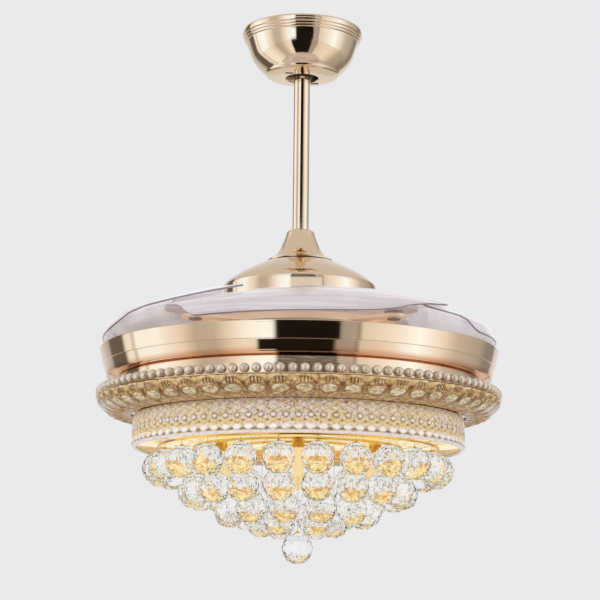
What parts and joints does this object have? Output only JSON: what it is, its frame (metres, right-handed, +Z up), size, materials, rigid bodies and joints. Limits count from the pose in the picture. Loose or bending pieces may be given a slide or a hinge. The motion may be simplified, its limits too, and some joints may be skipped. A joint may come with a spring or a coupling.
{
  "type": "ceiling fan with lamp",
  "caption": "Ceiling fan with clear folding blades over a gold motor drum, and a round lamp below with a faceted crystal band and tiers of hanging crystal balls.",
  "frame": {"origin": "middle of the ceiling bracket's top face, on the ceiling", "axes": "+Z up along the downrod to the ceiling; +X to the right and +Y away from the viewer of the picture"},
  "size_m": [0.511, 0.511, 0.692],
  "materials": {
    "champagne": "polished champagne gold plating",
    "rose": "polished rose gold plating",
    "steel": "zinc-plated",
    "black": "matte",
    "copper": "varnished windings",
    "magnet": "sintered",
    "nylon": "moulded",
    "clear": "clear acrylic",
    "crystal": "clear, faceted",
    "amber": "clear, warm tint",
    "mirror": "polished gold",
    "pearl": "pearl beads on a gold strip",
    "glow": "frosted lamp cover"
  },
  "bodies": {
    "mounting": {"ceiling_bracket": "steel", "canopy": "champagne", "remote_receiver": "black"},
    "hanging_set": {"hanger_ball": "black", "hanger_pin": "steel", "downrod": "champagne", "rod_coupler": "steel", "coupler_bolt": "steel", "neck_cover": "champagne", "motor_shaft": "steel", "stator": "copper", "fan_band": "rose", "pan_cover": "rose", "support_plate": "steel", "spacer_sleeve": "steel", "shaft_nut": "steel", "light_pan": "rose", "led_driver": "nylon", "bead_ring": "pearl", "crystal_carrier": "rose", "crystal_bar_ring": "amber", "crystal_band": "crystal", "mirror_plate": "mirror", "led_bulb_1": "glow", "led_bulb_2": "glow", "led_bulb_3": "glow", "led_bulb_4": "glow", "led_bulb_5": "glow", "led_bulb_6": "glow", "crystal_tier_1": "crystal", "crystal_tier_2": "crystal", "crystal_tier_3": "crystal", "crystal_tier_4": "crystal", "crystal_drop": "crystal"},
    "rotor": {"rotor_upper_shell": "steel", "rotor_lower_shell": "steel", "magnet_ring": "magnet", "upper_bearing": "steel", "lower_bearing": "steel", "spider": "champagne", "motor_dome": "champagne", "pivot_post_1": "steel", "pivot_post_2": "steel", "pivot_post_3": "steel", "pivot_post_4": "steel", "return_spring_1": "steel", "return_spring_2": "steel", "return_spring_3": "steel", "return_spring_4": "steel"},
    "timing_ring": {"gear_ring": "nylon"},
    "blade_set_1": {"blade_arm_1": "nylon", "blade_1": "clear"},
    "blade_set_2": {"blade_arm_2": "nylon", "blade_2": "clear"},
    "blade_set_3": {"blade_arm_3": "nylon", "blade_3": "clear"},
    "blade_set_4": {"blade_arm_4": "nylon", "blade_4": "clear"}
  },
  "joints": [
    {"name": "hanger_tilt", "type": "hinge", "parent": "mounting", "child": "hanging_set", "pos_m": [0, 0, -0.04275], "axis": [1, 0, 0], "range_deg": [-12, 12]},
    {"name": "rotor_spin", "type": "hinge", "parent": "hanging_set", "child": "rotor", "pos_m": [0, 0, -0.388], "axis": [0, 0, 1], "continuous": true},
    {"name": "ring_turn", "type": "hinge", "parent": "rotor", "child": "timing_ring", "pos_m": [0, 0, -0.3905], "axis": [0, 0, -1], "range_deg": [-36.25, 0]},
    {"name": "blade_swing_1", "type": "hinge", "parent": "rotor", "child": "blade_set_1", "pos_m": [0.12634, 0.11375, -0.385], "axis": [0, 0, -1], "range_deg": [0, 145], "stiffness_Nm_per_rad": 0.06, "springref_deg": -20.05},
    {"name": "blade_swing_2", "type": "hinge", "parent": "rotor", "child": "blade_set_2", "pos_m": [-0.11375, 0.12634, -0.385], "axis": [0, 0, -1], "range_deg": [0, 145], "stiffness_Nm_per_rad": 0.06, "springref_deg": -20.05},
    {"name": "blade_swing_3", "type": "hinge", "parent": "rotor", "child": "blade_set_3", "pos_m": [-0.12634, -0.11375, -0.385], "axis": [0, 0, -1], "range_deg": [0, 145], "stiffness_Nm_per_rad": 0.06, "springref_deg": -20.05},
    {"name": "blade_swing_4", "type": "hinge", "parent": "rotor", "child": "blade_set_4", "pos_m": [0.11375, -0.12634, -0.385], "axis": [0, 0, -1], "range_deg": [0, 145], "stiffness_Nm_per_rad": 0.06, "springref_deg": -20.05}
  ],
  "couplings": [
    {"joint": "ring_turn", "follows": "blade_swing_1", "ratio": -0.25},
    {"joint": "blade_swing_2", "follows": "blade_swing_1", "ratio": 1},
    {"joint": "blade_swing_3", "follows": "blade_swing_1", "ratio": 1},
    {"joint": "blade_swing_4", "follows": "blade_swing_1", "ratio": 1}
  ]
}
